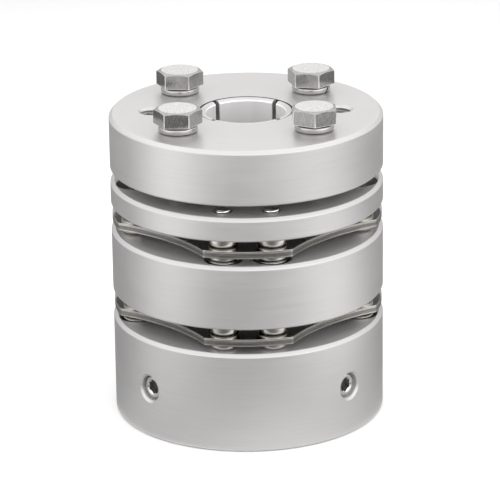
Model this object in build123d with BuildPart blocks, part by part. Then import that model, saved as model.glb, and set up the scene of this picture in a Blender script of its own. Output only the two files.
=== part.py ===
from build123d import *
from math import cos, radians, sin, sqrt, tan
import os

# Double disc coupling. The axis is Z, and Z = 0 is the free end face of the set-screw hub, on which
# the coupling stands. The front is -Y. From the bottom: set-screw hub, lower disc pack, centre
# spacer, upper disc pack, taper hub, and the clamp ring that squeezes the taper hub's slit sleeve
# onto a shaft. All sizes are in millimetres, and each bolt is drawn with its thread's outer diameter.

# Driving dimensions of the turned bodies
outer_diameter = 65.0
shaft_diameter = 19.0
hub_length = 24.5
pack_gap = 6.0
spacer_length = 15.6
flange_thickness = 5.8
clamp_gap = 2.9
ring_length = 13.2
rim_chamfer = 0.8
face_chamfer = 0.4
bore_chamfer = 0.6
spacer_bore_diameter = 30.0

# Taper joint between the sleeve and the clamp ring
sleeve_top_diameter = 22.0
taper_half_angle = 4.0
sleeve_root_radius = 1.2
ring_mouth_chamfer = 0.15
slit_width = 1.3
slit_floor = 1.0

# Disc packs
lamination_count = 6
lamination_thickness = 0.3
disc_rim_radius = 32.2
disc_waist_radius = 26.7
disc_inner_radius = 21.5
lobe_half_angle = 18.6
disc_corner_radius = 0.8
lower_bush_height = 1.85
bush_outer_diameter = 7.1
bush_bore_diameter = 4.2

# Socket head bolts of the disc packs, in a pair on each lobe
bolt_circle_radius = 27.0
bolt_half_angle = 12.0
disc_bolt_diameter = 4.0
disc_bolt_length = 12.0
disc_bolt_head_diameter = 7.0
disc_bolt_head_height = 4.0
disc_bolt_socket = 3.0
disc_bolt_socket_depth = 2.0
disc_bolt_tip_chamfer = 0.5
disc_bolt_head_chamfer = 0.35
tapped_mouth_diameter = 4.7
tapped_depth = 8.5
access_hole_diameter = 9.0
access_mouth_diameter = 9.2
head_recess_depth = 5.0

# Hexagon head bolts and split spring washers of the clamp ring
clamp_circle_radius = 22.35
clamp_bolt_diameter = 6.0
clamp_bolt_length = 22.0
clamp_bolt_head_height = 4.0
clamp_bolt_across_flats = 10.0
clamp_bolt_face_diameter = 9.3
clamp_bolt_neck_diameter = 9.0
clamp_bolt_neck_height = 0.3
clamp_bolt_tip_chamfer = 0.8
clamp_clearance_diameter = 6.6
clamp_mouth_diameter = 7.0
spring_washer_outer_diameter = 9.25
spring_washer_bore_diameter = 6.2
spring_washer_thickness = 1.6
spring_washer_split = 0.5
spring_washer_slant = 0.9

# Jack holes, which take two of the clamp bolts to push the ring off its taper
jack_circle_radius = 22.3
jack_hole_diameter = 5.0
jack_mouth_diameter = 6.3

# Set screws
set_screw_diameter = 6.0
set_screw_length = 20.0
set_screw_face_radius = 31.3
set_screw_mouth_diameter = 7.2
set_screw_socket = 3.0
set_screw_socket_depth = 3.5
set_screw_edge_chamfer = 0.6
set_screw_point_diameter = 3.0
set_screw_point_depth = 0.8

# Heights worked out from the driving dimensions
outer_radius = outer_diameter / 2
bore_radius = shaft_diameter / 2
spacer_bore_radius = spacer_bore_diameter / 2
pack_thickness = lamination_count * lamination_thickness
upper_bush_height = pack_gap - pack_thickness - lower_bush_height
spacer_bottom = hub_length + pack_gap
spacer_top = spacer_bottom + spacer_length
flange_bottom = spacer_top + pack_gap
flange_top = flange_bottom + flange_thickness
ring_bottom = flange_top + clamp_gap
ring_top = ring_bottom + ring_length
clamp_bolt_seat = ring_top + spring_washer_thickness

# Lobes in turn, each with the angle of its middle about Z. The front and back lobes of a pack are
# bolted to its hub, and the right and left lobes to the spacer.
lobe_angles = {"right": 0.0, "back": 90.0, "left": 180.0, "front": 270.0}
hub_lobes = ("front", "back")
spacer_lobes = ("left", "right")
corner_angles = {
    "back_right": 45.0,
    "back_left": 135.0,
    "front_left": 225.0,
    "front_right": 315.0,
}
set_screw_angles = {"left": 223.0, "right": 317.0}


def polar(radius, angle):
    """The point at a radius and an angle in degrees about the axis."""
    return (radius * cos(radians(angle)), radius * sin(radians(angle)))


def bolt_points(lobe):
    """The two bolt centres on a lobe."""
    middle = lobe_angles[lobe]
    return [
        polar(bolt_circle_radius, middle - bolt_half_angle),
        polar(bolt_circle_radius, middle + bolt_half_angle),
    ]


def points_on_lobes(lobes):
    """The bolt centres on several lobes."""
    return [point for lobe in lobes for point in bolt_points(lobe)]


def at_height(points, height):
    """The same points, lifted to a height."""
    return [(x, y, height) for x, y in points]


def upright_plane(origin, angle):
    """An upright plane that faces outwards at an angle, with its own Y axis pointing up."""
    return Plane(origin=origin, x_dir=(*polar(1, angle + 90), 0), z_dir=(*polar(1, angle), 0))


def sleeve_radius(height):
    """The outer radius of the tapered sleeve at a height."""
    drop = ring_top - height
    return sleeve_top_diameter / 2 + drop * tan(radians(taper_half_angle))


def cut_tapped_holes(points, depth):
    """Tapped holes for disc bolts, each with a chamfered mouth, down from the level of their points."""
    with Locations(*points):
        CounterSinkHole(
            radius=disc_bolt_diameter / 2,
            counter_sink_radius=tapped_mouth_diameter / 2,
            depth=depth,
            counter_sink_angle=90,
        )


def cut_access_holes(points, depth):
    """Wide holes that hold the heads of disc bolts and let a key reach them."""
    with Locations(*points):
        CounterSinkHole(
            radius=access_hole_diameter / 2,
            counter_sink_radius=access_mouth_diameter / 2,
            depth=depth,
            counter_sink_angle=90,
        )


def save(builder, name):
    """Label a finished piece and write its file."""
    builder.part.label = name
    export_step(builder.part, f"parts/{name}.step")


clamp_points = [polar(clamp_circle_radius, angle) for angle in corner_angles.values()]

# Set-screw hub: a turned cylinder with a plain bore
with BuildPart() as set_screw_hub:
    with BuildSketch(Plane.XZ):
        with BuildLine():
            Polyline(
                (bore_radius, bore_chamfer),
                (bore_radius + bore_chamfer, 0),
                (outer_radius - face_chamfer, 0),
                (outer_radius, face_chamfer),
                (outer_radius, hub_length - rim_chamfer),
                (outer_radius - rim_chamfer, hub_length),
                (bore_radius + bore_chamfer, hub_length),
                (bore_radius, hub_length - bore_chamfer),
                close=True,
            )
        make_face()
    revolve(axis=Axis.Z)
    cut_tapped_holes(at_height(points_on_lobes(hub_lobes), hub_length), tapped_depth)
    cut_access_holes(at_height(points_on_lobes(spacer_lobes), hub_length), hub_length)
    # radial tapped holes for the set screws
    for angle in set_screw_angles.values():
        with Locations(upright_plane((*polar(outer_radius, angle), hub_length / 2), angle)):
            CounterSinkHole(
                radius=set_screw_diameter / 2,
                counter_sink_radius=set_screw_mouth_diameter / 2,
                depth=outer_radius - bore_radius / 2,
                counter_sink_angle=90,
            )
save(set_screw_hub, "set_screw_hub")

# Centre spacer: a turned ring between the two disc packs
with BuildPart() as centre_spacer:
    with BuildSketch(Plane.XZ):
        with BuildLine():
            Polyline(
                (spacer_bore_radius + bore_chamfer, spacer_bottom),
                (outer_radius - face_chamfer, spacer_bottom),
                (outer_radius, spacer_bottom + face_chamfer),
                (outer_radius, spacer_top - rim_chamfer),
                (outer_radius - rim_chamfer, spacer_top),
                (spacer_bore_radius + bore_chamfer, spacer_top),
                (spacer_bore_radius, spacer_top - bore_chamfer),
                (spacer_bore_radius, spacer_bottom + bore_chamfer),
                close=True,
            )
        make_face()
    revolve(axis=Axis.Z)
    # through tapped holes, which take a bolt from each pack
    cut_tapped_holes(at_height(points_on_lobes(spacer_lobes), spacer_top), spacer_length)
    # flat recesses, top and bottom, for the heads of the bolts that go into the two hubs
    with BuildSketch(Plane.XY.offset(spacer_bottom), Plane.XY.offset(spacer_top - head_recess_depth)):
        with Locations(*points_on_lobes(hub_lobes)):
            Circle(access_hole_diameter / 2)
    extrude(amount=head_recess_depth, mode=Mode.SUBTRACT)
save(centre_spacer, "centre_spacer")

# Taper hub: a flange with a slit sleeve, whose outside is tapered and whose bore grips the shaft
with BuildPart() as taper_hub:
    with BuildSketch(Plane.XZ) as taper_section:
        with BuildLine():
            Polyline(
                (bore_radius + bore_chamfer, flange_bottom),
                (outer_radius - face_chamfer, flange_bottom),
                (outer_radius, flange_bottom + face_chamfer),
                (outer_radius, flange_top - rim_chamfer),
                (outer_radius - rim_chamfer, flange_top),
                (sleeve_radius(flange_top), flange_top),
                (sleeve_radius(ring_top - face_chamfer), ring_top - face_chamfer),
                (sleeve_top_diameter / 2 - face_chamfer, ring_top),
                (bore_radius + bore_chamfer, ring_top),
                (bore_radius, ring_top - bore_chamfer),
                (bore_radius, flange_bottom + bore_chamfer),
                close=True,
            )
        make_face()
        root = taper_section.vertices().sort_by_distance((sleeve_radius(flange_top), 0, flange_top))[0]
        fillet(root, sleeve_root_radius)
    revolve(axis=Axis.Z)
    # slits, each cut right across the sleeve and rounded at its floor
    for angle in (corner_angles["back_right"], corner_angles["back_left"]):
        with BuildSketch(upright_plane((0, 0, flange_top + slit_floor), angle)):
            Circle(slit_width / 2)
            with Locations((0, ring_top / 2)):
                Rectangle(slit_width, ring_top)
        extrude(amount=outer_radius / 2, both=True, mode=Mode.SUBTRACT)
    # tapped holes for the clamp bolts
    with Locations(*at_height(clamp_points, flange_top)):
        Hole(clamp_bolt_diameter / 2, depth=flange_thickness)
    cut_tapped_holes(at_height(points_on_lobes(hub_lobes), flange_top), flange_thickness)
    cut_access_holes(at_height(points_on_lobes(spacer_lobes), flange_top), flange_thickness)
save(taper_hub, "taper_hub")

# Clamp ring: bored to the sleeve's taper and drawn down onto it by four bolts
with BuildPart() as clamp_ring:
    with BuildSketch(Plane.XZ):
        with BuildLine():
            Polyline(
                (sleeve_radius(ring_bottom), ring_bottom),
                (outer_radius - face_chamfer, ring_bottom),
                (outer_radius, ring_bottom + face_chamfer),
                (outer_radius, ring_top - rim_chamfer),
                (outer_radius - rim_chamfer, ring_top),
                (sleeve_top_diameter / 2 + ring_mouth_chamfer, ring_top),
                (sleeve_radius(ring_top - ring_mouth_chamfer), ring_top - ring_mouth_chamfer),
                close=True,
            )
        make_face()
    revolve(axis=Axis.Z)
    # clearance holes for the clamp bolts
    with Locations(*at_height(clamp_points, ring_top)):
        CounterSinkHole(
            radius=clamp_clearance_diameter / 2,
            counter_sink_radius=clamp_mouth_diameter / 2,
            depth=ring_length,
            counter_sink_angle=90,
        )
    # jack holes
    with Locations((jack_circle_radius, 0, ring_top), (-jack_circle_radius, 0, ring_top)):
        CounterSinkHole(
            radius=jack_hole_diameter / 2,
            counter_sink_radius=jack_mouth_diameter / 2,
            depth=ring_length,
            counter_sink_angle=90,
        )
save(clamp_ring, "clamp_ring")


def build_lamination(name, bottom):
    """One spring-steel sheet of a disc pack: four lobes, a scallop between each two, and eight holes."""
    with BuildPart() as lamination:
        with BuildSketch(Plane.XY.offset(bottom)) as sheet:
            with BuildLine():
                for middle in lobe_angles.values():
                    start = polar(disc_rim_radius, middle - lobe_half_angle)
                    end = polar(disc_rim_radius, middle + lobe_half_angle)
                    following = polar(disc_rim_radius, middle + 90 - lobe_half_angle)
                    ThreePointArc(start, polar(disc_rim_radius, middle), end)
                    ThreePointArc(end, polar(disc_waist_radius, middle + 45), following)
            make_face()
            fillet(sheet.vertices(), disc_corner_radius)
            Circle(disc_inner_radius, mode=Mode.SUBTRACT)
            with Locations(*points_on_lobes(lobe_angles)):
                Circle(bush_bore_diameter / 2, mode=Mode.SUBTRACT)
        extrude(amount=lamination_thickness)
    save(lamination, name)


def build_bush_pair(name, lobe, bottom, height):
    """The two plain bushes on one side of a pack at one lobe."""
    with BuildPart() as bushes:
        with BuildSketch(Plane.XY.offset(bottom)):
            with Locations(*bolt_points(lobe)):
                Circle(bush_outer_diameter / 2)
                Circle(bush_bore_diameter / 2, mode=Mode.SUBTRACT)
        extrude(amount=height)
    save(bushes, name)


def build_disc_bolt(name, point, bearing_height, shank_direction):
    """A socket head bolt, whose shank leaves its bearing face up (1) or down (-1)."""
    axis = Axis((*point, bearing_height), (0, 0, shank_direction))
    bearing = Plane(origin=(*point, bearing_height), z_dir=(0, 0, shank_direction))
    with BuildPart() as bolt:
        with BuildSketch(bearing):
            Circle(disc_bolt_head_diameter / 2)
        extrude(amount=-disc_bolt_head_height)
        chamfer(bolt.edges().filter_by(GeomType.CIRCLE).sort_by(axis)[0], disc_bolt_head_chamfer)
        with BuildSketch(bearing):
            Circle(disc_bolt_diameter / 2)
        extrude(amount=disc_bolt_length)
        chamfer(bolt.edges().filter_by(GeomType.CIRCLE).sort_by(axis)[-1], disc_bolt_tip_chamfer)
        with BuildSketch(bearing.offset(-disc_bolt_head_height)):
            RegularPolygon(disc_bolt_socket / 2, 6, major_radius=False)
        extrude(amount=disc_bolt_socket_depth, mode=Mode.SUBTRACT)
    save(bolt, name)


def build_clamp_bolt(name, angle, turn):
    """A hexagon head bolt with a turned chamfer on its head and a washer face under it."""
    seat = Plane(origin=(*polar(clamp_circle_radius, angle), clamp_bolt_seat))
    corner_radius = clamp_bolt_across_flats / sqrt(3)
    chamfer_drop = (corner_radius - clamp_bolt_face_diameter / 2) * tan(radians(30))
    with BuildPart() as bolt:
        with BuildSketch(seat.offset(clamp_bolt_neck_height)):
            RegularPolygon(clamp_bolt_across_flats / 2, 6, major_radius=False, rotation=turn)
        extrude(amount=clamp_bolt_head_height - clamp_bolt_neck_height)
        with BuildSketch(Plane(origin=seat.origin, x_dir=(1, 0, 0), z_dir=(0, -1, 0))):
            with BuildLine():
                Polyline(
                    (0, 0),
                    (corner_radius, 0),
                    (corner_radius, clamp_bolt_head_height - chamfer_drop),
                    (clamp_bolt_face_diameter / 2, clamp_bolt_head_height),
                    (0, clamp_bolt_head_height),
                    close=True,
                )
            make_face()
        revolve(axis=Axis(seat.origin, (0, 0, 1)), mode=Mode.INTERSECT)
        with BuildSketch(seat):
            Circle(clamp_bolt_neck_diameter / 2)
        extrude(amount=clamp_bolt_neck_height)
        with BuildSketch(seat):
            Circle(clamp_bolt_diameter / 2)
        extrude(amount=-clamp_bolt_length)
        chamfer(bolt.edges().filter_by(GeomType.CIRCLE).sort_by(Axis.Z)[0], clamp_bolt_tip_chamfer)
    save(bolt, name)


def build_spring_washer(name, angle, split_angle):
    """A split spring washer, pressed flat, with its slanted split at an angle about its own centre."""
    centre = polar(clamp_circle_radius, angle)
    with BuildPart() as washer:
        with BuildSketch(Plane.XY.offset(ring_top)):
            with Locations(centre):
                Circle(spring_washer_outer_diameter / 2)
                Circle(spring_washer_bore_diameter / 2, mode=Mode.SUBTRACT)
        extrude(amount=spring_washer_thickness)
        with BuildSketch(upright_plane((*centre, ring_top), split_angle)):
            with BuildLine():
                Polyline(
                    (-spring_washer_slant, 0),
                    (-spring_washer_slant + spring_washer_split, 0),
                    (spring_washer_slant, spring_washer_thickness),
                    (spring_washer_slant - spring_washer_split, spring_washer_thickness),
                    close=True,
                )
            make_face()
        extrude(amount=spring_washer_outer_diameter, mode=Mode.SUBTRACT)
    save(washer, name)


def build_set_screw(name, angle):
    """A headless set screw with a hexagon socket outside and a cup point inside, backed off the bore."""
    face = upright_plane((*polar(set_screw_face_radius, angle), hub_length / 2), angle)
    axis = Axis(face.origin, face.z_dir)
    with BuildPart() as screw:
        with BuildSketch(face):
            Circle(set_screw_diameter / 2)
        extrude(amount=-set_screw_length)
        rims = screw.edges().filter_by(GeomType.CIRCLE).sort_by(axis)
        chamfer([rims[0], rims[-1]], set_screw_edge_chamfer)
        with BuildSketch(face):
            RegularPolygon(set_screw_socket / 2, 6, major_radius=False)
        extrude(amount=-set_screw_socket_depth, mode=Mode.SUBTRACT)
        with BuildSketch(face.offset(-set_screw_length)):
            Circle(set_screw_point_diameter / 2)
        extrude(amount=set_screw_point_depth, taper=45, mode=Mode.SUBTRACT)
    save(screw, name)


# Disc packs: the sheets, the bushes on both sides of them, and the bolts. Each bolt's head sits in the
# body that its pack isn't fixed to there, and bears on the bush at the level of that body's face.
pack_floors = {"lower": hub_length, "upper": spacer_top}
for pack, floor in pack_floors.items():
    pack_bottom = floor + lower_bush_height
    pack_top = pack_bottom + pack_thickness
    for number in range(lamination_count):
        build_lamination(f"{pack}_lamination_{number + 1}", pack_bottom + number * lamination_thickness)
    for lobe in lobe_angles:
        build_bush_pair(f"{pack}_bushes_below_{lobe}", lobe, floor, lower_bush_height)
        build_bush_pair(f"{pack}_bushes_above_{lobe}", lobe, pack_top, upper_bush_height)
        shank_up = (pack == "upper") == (lobe in hub_lobes)
        bearing = floor if shank_up else floor + pack_gap
        direction = 1 if shank_up else -1
        for number, point in enumerate(bolt_points(lobe)):
            build_disc_bolt(f"{pack}_disc_bolt_{lobe}_{number + 1}", point, bearing, direction)

# Clamp bolts and washers, each with the turn at which it was tightened
clamp_bolt_turns = {"back_right": -12.0, "back_left": -7.0, "front_left": -2.0, "front_right": -29.0}
washer_split_angles = {"back_right": -35.0, "back_left": 130.0, "front_left": 70.0, "front_right": 120.0}
for corner, angle in corner_angles.items():
    build_clamp_bolt(f"clamp_bolt_{corner}", angle, clamp_bolt_turns[corner])
    build_spring_washer(f"spring_washer_{corner}", angle, washer_split_angles[corner])

# Set screws
for side, angle in set_screw_angles.items():
    build_set_screw(f"set_screw_{side}", angle)
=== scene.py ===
"""Looks of a double disc coupling: turned aluminium bodies, spring-steel disc packs and stainless fasteners.

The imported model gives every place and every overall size. Each class below is one sub-assembly of the
coupling. It rebuilds that sub-assembly's nodes as finely turned, drilled and threaded meshes, in the same
place and form, and gives them their finish. Lengths in the classes are in millimetres.
"""

import logging
import math
from dataclasses import dataclass
from enum import Enum
from typing import ClassVar, Iterable, Sequence

import bmesh
import bpy
from mathutils import Matrix, Vector


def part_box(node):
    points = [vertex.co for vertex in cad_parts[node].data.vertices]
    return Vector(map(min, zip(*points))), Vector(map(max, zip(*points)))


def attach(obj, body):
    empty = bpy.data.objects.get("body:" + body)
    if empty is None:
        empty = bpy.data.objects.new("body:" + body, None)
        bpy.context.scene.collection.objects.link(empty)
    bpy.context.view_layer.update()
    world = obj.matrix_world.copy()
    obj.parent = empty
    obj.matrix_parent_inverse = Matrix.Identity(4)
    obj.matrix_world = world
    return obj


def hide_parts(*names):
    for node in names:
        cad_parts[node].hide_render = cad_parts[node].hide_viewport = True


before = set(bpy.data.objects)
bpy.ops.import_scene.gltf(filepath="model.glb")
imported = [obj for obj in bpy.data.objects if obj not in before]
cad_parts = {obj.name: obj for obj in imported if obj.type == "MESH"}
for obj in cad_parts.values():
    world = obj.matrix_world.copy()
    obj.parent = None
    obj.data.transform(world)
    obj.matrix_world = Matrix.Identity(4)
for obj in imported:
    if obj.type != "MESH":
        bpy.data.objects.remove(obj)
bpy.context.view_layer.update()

log = logging.getLogger("coupling")
logging.basicConfig(level=logging.INFO, format="%(name)s: %(message)s")

MM = 0.001  # one millimetre, in metres
BODY = "root"  # the body that every piece rides on
TURN_STEPS = 240  # flats round a turned body
HEAD_STEPS = 96  # flats round a clamp bolt's head or washer
FINE_STEPS = 64  # flats round a hole, a bush or a small head
SCREW_STEPS = 48  # flats round a 6 mm thread
SMALL_STEPS = 40  # flats round a 4 mm thread
PAST = 1.0  # how far a cutting tool reaches past a face that it cuts through
SPARE = 0.2  # how far a cutting tool stands clear of a thread's crests
EDGE = 0.05  # the rounding of an edge that is only just broken
EDGE_GLINT = "edge_glint"  # the attribute that marks the faces painted with a highlight
UPSIDE_DOWN = Matrix.Rotation(math.pi, 4, "X")
Profile = Sequence[tuple[float, float, float]]
Socket = bpy.types.NodeSocket


class Side(Enum):
    """The four lobes of a disc pack, each with the angle of its middle in degrees."""

    RIGHT = 0.0
    BACK = 90.0
    LEFT = 180.0
    FRONT = 270.0


class Corner(Enum):
    """The four corners at which the clamp bolts stand, each with its angle in degrees."""

    BACK_RIGHT = 45.0
    BACK_LEFT = 135.0
    FRONT_LEFT = 225.0
    FRONT_RIGHT = 315.0


class Marks(Enum):
    """The way that fine tool marks run over a piece."""

    TURNED = "round the Z axis"
    DRAWN = "up and down, along Z"
    ROLLED = "along X, in thin layers"


class Boolean(Enum):
    """The ways to combine two solids, each with the name that Blender gives it."""

    CUT = "DIFFERENCE"
    ADD = "UNION"
    KEEP = "INTERSECT"


HUB_SIDES = (Side.FRONT, Side.BACK)
SPACER_SIDES = (Side.LEFT, Side.RIGHT)


def polar(radius: float, degrees: float, height: float = 0.0) -> Vector:
    """Give the point at a radius, an angle and a height, in the units of the radius."""
    turn = math.radians(degrees)
    return Vector((radius * math.cos(turn), radius * math.sin(turn), height))


def span(node: str) -> tuple[float, float]:
    """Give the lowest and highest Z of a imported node, in millimetres."""
    low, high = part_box(node)
    return low.z / MM, high.z / MM


def at(point: Vector) -> Matrix:
    """Give the matrix that moves to a point."""
    return Matrix.Translation(point)


def outward(degrees: float, height: float) -> Matrix:
    """Give the matrix that lays the Z axis outwards along a radius at an angle and a height."""
    turn = Matrix.Rotation(math.radians(degrees), 4, "Z")
    return at(Vector((0, 0, height))) @ turn @ Matrix.Rotation(math.pi / 2, 4, "Y")


def to_scene(name: str, data: bpy.types.ID) -> bpy.types.Object:
    """Put a mesh or a camera into the scene as an object."""
    made = bpy.data.objects.new(name, data)
    bpy.context.scene.collection.objects.link(made)
    return made


# ---- Mesh work ----


def round_off(bm: bmesh.types.BMesh, geom: list, width: float, segments: int, affect: str,
              clamp: bool = False) -> list[bmesh.types.BMFace]:
    """Bevel edges, or corners of a flat outline, to a width on each side, and give the new faces."""
    return bmesh.ops.bevel(bm, geom=geom, offset=width, offset_type="OFFSET", segments=segments, profile=0.5,
                           affect=affect, clamp_overlap=clamp, material=-1)["faces"]


def turn_round(bm: bmesh.types.BMesh, geom: list, steps: int, merge: bool, angle: float = math.tau,
               **more: object) -> dict:
    """Spin geometry about an upright axis, which passes through the origin unless a centre is given."""
    centred = {"cent": (0, 0, 0)} | more
    return bmesh.ops.spin(bm, geom=geom, axis=(0, 0, 1), angle=angle, steps=steps, use_merge=merge, **centred)


class Solid:
    """A closed shape in the making, held in a bmesh whose units are millimetres."""

    def __init__(self) -> None:
        """Start with nothing."""
        self.bm = bmesh.new()

    @classmethod
    def spun(cls, profile: Profile, steps: int) -> "Solid":
        """Turn a profile about the Z axis, as on a lathe.

        Args:
            profile: Points of (radius, height, rounding), where rounding is the length that a rounded
                corner takes from each of its two edges. A profile that starts on the axis also ends
                there, and any other is a loop.
            steps: How many flats the full turn has.

        Returns:
            The turned solid.
        """
        solid = cls()
        bm = solid.bm
        points = [bm.verts.new((radius, 0.0, height)) for radius, height, _ in profile]
        following = points[1:] + (points[:1] if profile[0][0] > 0 else [])
        for pair in zip(points, following):
            bm.edges.new(pair)
        for size in sorted({rounding for _, _, rounding in profile if rounding > 0}):
            round_off(bm, [v for v, p in zip(points, profile) if p[2] == size], size, 3, "VERTICES")
        turn_round(bm, bm.verts[:] + bm.edges[:], steps, merge=True)
        return solid.weld()

    @classmethod
    def prism(cls, across_flats: float, low: float, high: float) -> "Solid":
        """Make a hexagonal prism that stands on its end, with a corner on the X axis.

        Args:
            across_flats: The distance between two of its sides.
            low: The height of its lower end.
            high: The height of its upper end.

        Returns:
            The prism.
        """
        solid = cls()
        radius = across_flats / math.sqrt(3)
        made = bmesh.ops.create_circle(solid.bm, cap_ends=True, radius=radius, segments=6)
        first = math.atan2(made["verts"][0].co.y, made["verts"][0].co.x)
        bmesh.ops.rotate(solid.bm, verts=made["verts"], cent=(0, 0, 0),
                         matrix=Matrix.Rotation(-first, 3, "Z"))
        bmesh.ops.translate(solid.bm, verts=made["verts"], vec=(0, 0, low))
        return solid.raised(high - low)

    @classmethod
    def thread(cls, major: float, pitch: float, low: float, high: float, steps: int) -> "Solid":
        """Make a rod with a real helical thread, a little longer than asked at both ends.

        Args:
            major: The thread's outer diameter.
            pitch: The rise of one turn.
            low: The height that the rod reaches down to, at least.
            high: The height that the rod reaches up to, at least.
            steps: How many flats one turn has.

        Returns:
            The rod, closed at both ends.
        """
        solid = cls()
        bm = solid.bm
        crest = major / 2
        root = crest - 0.6 * pitch
        turns = math.ceil((high - low) / pitch) + 2
        start = low - 1.5 * pitch
        outline = ((0.0, root), (0.12, root), (0.5, crest), (0.62, crest))
        points = [bm.verts.new((radius, 0.0, start + (turn + share) * pitch))
                  for turn in range(turns) for share, radius in outline]
        for pair in zip(points, points[1:]):
            bm.edges.new(pair)
        turn_round(bm, bm.verts[:] + bm.edges[:], steps, merge=False, dvec=(0, 0, pitch / steps))
        bmesh.ops.remove_doubles(bm, verts=bm.verts[:], dist=0.002)
        bmesh.ops.holes_fill(bm, edges=[e for e in bm.edges if e.is_boundary], sides=0)
        bmesh.ops.triangulate(bm, faces=[f for f in bm.faces if len(f.verts) > 4])
        return solid.weld()

    def weld(self) -> "Solid":
        """Merge doubles and turn every face outwards."""
        bmesh.ops.remove_doubles(self.bm, verts=self.bm.verts[:], dist=0.0005)
        bmesh.ops.recalc_face_normals(self.bm, faces=self.bm.faces[:])
        return self

    def raised(self, height: float) -> "Solid":
        """Give a flat shape its height along Z, as a closed solid."""
        lifted = bmesh.ops.extrude_face_region(self.bm, geom=self.bm.faces[:])
        top = [g for g in lifted["geom"] if isinstance(g, bmesh.types.BMVert)]
        bmesh.ops.translate(self.bm, verts=top, vec=(0, 0, height))
        return self.weld()

    def moved(self, matrix: Matrix) -> "Solid":
        """Place the solid by a matrix in millimetres."""
        bmesh.ops.transform(self.bm, matrix=matrix, verts=self.bm.verts[:])
        return self

    def copy(self) -> "Solid":
        """Give a second solid of the same shape."""
        twin = Solid()
        twin.bm.free()
        twin.bm = self.bm.copy()
        return twin

    def copies(self, points: Iterable[Vector]) -> list["Solid"]:
        """Give copies of the solid that stand at some points."""
        return [self.copy().moved(at(point)) for point in points]

    def joined(self, others: Iterable["Solid"]) -> "Solid":
        """Take in the shells of other solids, which don't meet this one."""
        for other in others:
            spare = bpy.data.meshes.new("spare")
            other.bm.to_mesh(spare)
            self.bm.from_mesh(spare)
            bpy.data.meshes.remove(spare)
        return self

    def softened(self, width: float, sharper_than: float, segments: int) -> "Solid":
        """Round the sharp edges, and mark the new faces for a painted highlight.

        Args:
            width: The length that a rounding takes from each face.
            sharper_than: The angle, in degrees, that an edge turns by at least.
            segments: How many flats a rounding has.

        Returns:
            This solid, changed.
        """
        limit = math.radians(sharper_than)
        edge_glint = self.bm.faces.layers.float.new(EDGE_GLINT)
        edges = [e for e in self.bm.edges if e.is_manifold and e.calc_face_angle(0) > limit]
        for face in round_off(self.bm, edges, width, segments, "EDGES", clamp=True):
            face[edge_glint] = 1.0
        return self.weld()

    def cut(self, *tools: "Solid") -> "Solid":
        """Cut tools out of the solid, which don't meet each other."""
        return self.combined(Solid().joined(tools), Boolean.CUT)

    def combined(self, other: "Solid", way: Boolean) -> "Solid":
        """Combine the solid with another one.

        Args:
            other: The second solid.
            way: Whether the second is cut away or added, or what both share is kept.

        Returns:
            This solid, changed.
        """
        target, tool = self.to_object("target"), other.to_object("tool")
        step = target.modifiers.new("combine", "BOOLEAN")
        step.operation = way.value
        step.solver = "EXACT"
        step.object = tool
        graph = bpy.context.evaluated_depsgraph_get()
        result = bpy.data.meshes.new_from_object(target.evaluated_get(graph))
        self.bm.clear()
        self.bm.from_mesh(result)
        for spare in (target, tool):
            mesh = spare.data
            bpy.data.objects.remove(spare)
            bpy.data.meshes.remove(mesh)
        bpy.data.meshes.remove(result)
        bmesh.ops.dissolve_degenerate(self.bm, edges=self.bm.edges[:], dist=0.0005)
        return self.weld()

    def to_object(self, name: str) -> bpy.types.Object:
        """Put the shape into the scene as it is."""
        mesh = bpy.data.meshes.new(name)
        self.bm.to_mesh(mesh)
        return to_scene(name, mesh)

    def piece(self, nodes: Sequence[str], slot: str, material: bpy.types.Material,
              smooth_below: float = 32.0) -> bpy.types.Object:
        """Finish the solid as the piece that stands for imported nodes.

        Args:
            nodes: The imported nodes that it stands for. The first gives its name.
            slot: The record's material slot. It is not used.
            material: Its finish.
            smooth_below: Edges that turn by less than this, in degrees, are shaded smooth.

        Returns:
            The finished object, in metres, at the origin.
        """
        bmesh.ops.scale(self.bm, vec=(MM, MM, MM), verts=self.bm.verts[:])
        made = self.to_object(f"{nodes[0]}_finished")
        self.bm.free()
        made.data.materials.append(material)
        made.data.polygons.foreach_set("use_smooth", [True] * len(made.data.polygons))
        made.data.set_sharp_from_angle(angle=math.radians(smooth_below))
        even = made.modifiers.new("even_shading", "WEIGHTED_NORMAL")
        even.keep_sharp = True
        even.weight = 50
        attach(made, BODY)
        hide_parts(*nodes)
        log.info("%s: %d faces", made.name, len(made.data.polygons))
        return made


def drill(radius: float, mouth: float, low: float, high: float) -> Solid:
    """Make a drill that stands on Z, whose mouth at the top is opened by a 45 degree chamfer.

    Args:
        radius: The hole's radius.
        mouth: The mouth's radius at the height of its surface.
        low: The hole's floor.
        high: The surface that it is drilled into.

    Returns:
        The drill, which stands a little proud of the surface.
    """
    soft = 0.08
    return Solid.spun(((0, low, 0), (radius, low, 0), (radius, high - (mouth - radius), soft),
                       (mouth + PAST, high + PAST, 0), (0, high + PAST, 0)), FINE_STEPS)


# ---- Finishes ----

COMMON = (0.3, 0.7)  # the range that holds most values of a noise
CLOUDS = 90.0  # the scale of the slow changes of dullness
SLOPING = (0.5, 0.7)  # a normal's upward part, from an upright face to a sloping one
LEVEL = (0.93, 0.97)  # the same, from a sloping face to a level one
BORE_BLEND = 0.1 * MM
SHADE_BAND_BLEND = 0.02 * MM
HEIGHT_BLEND = 0.5 * MM
STREAK_RADIUS = 30.0  # the radius at which a streak round an axis has its length


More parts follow.
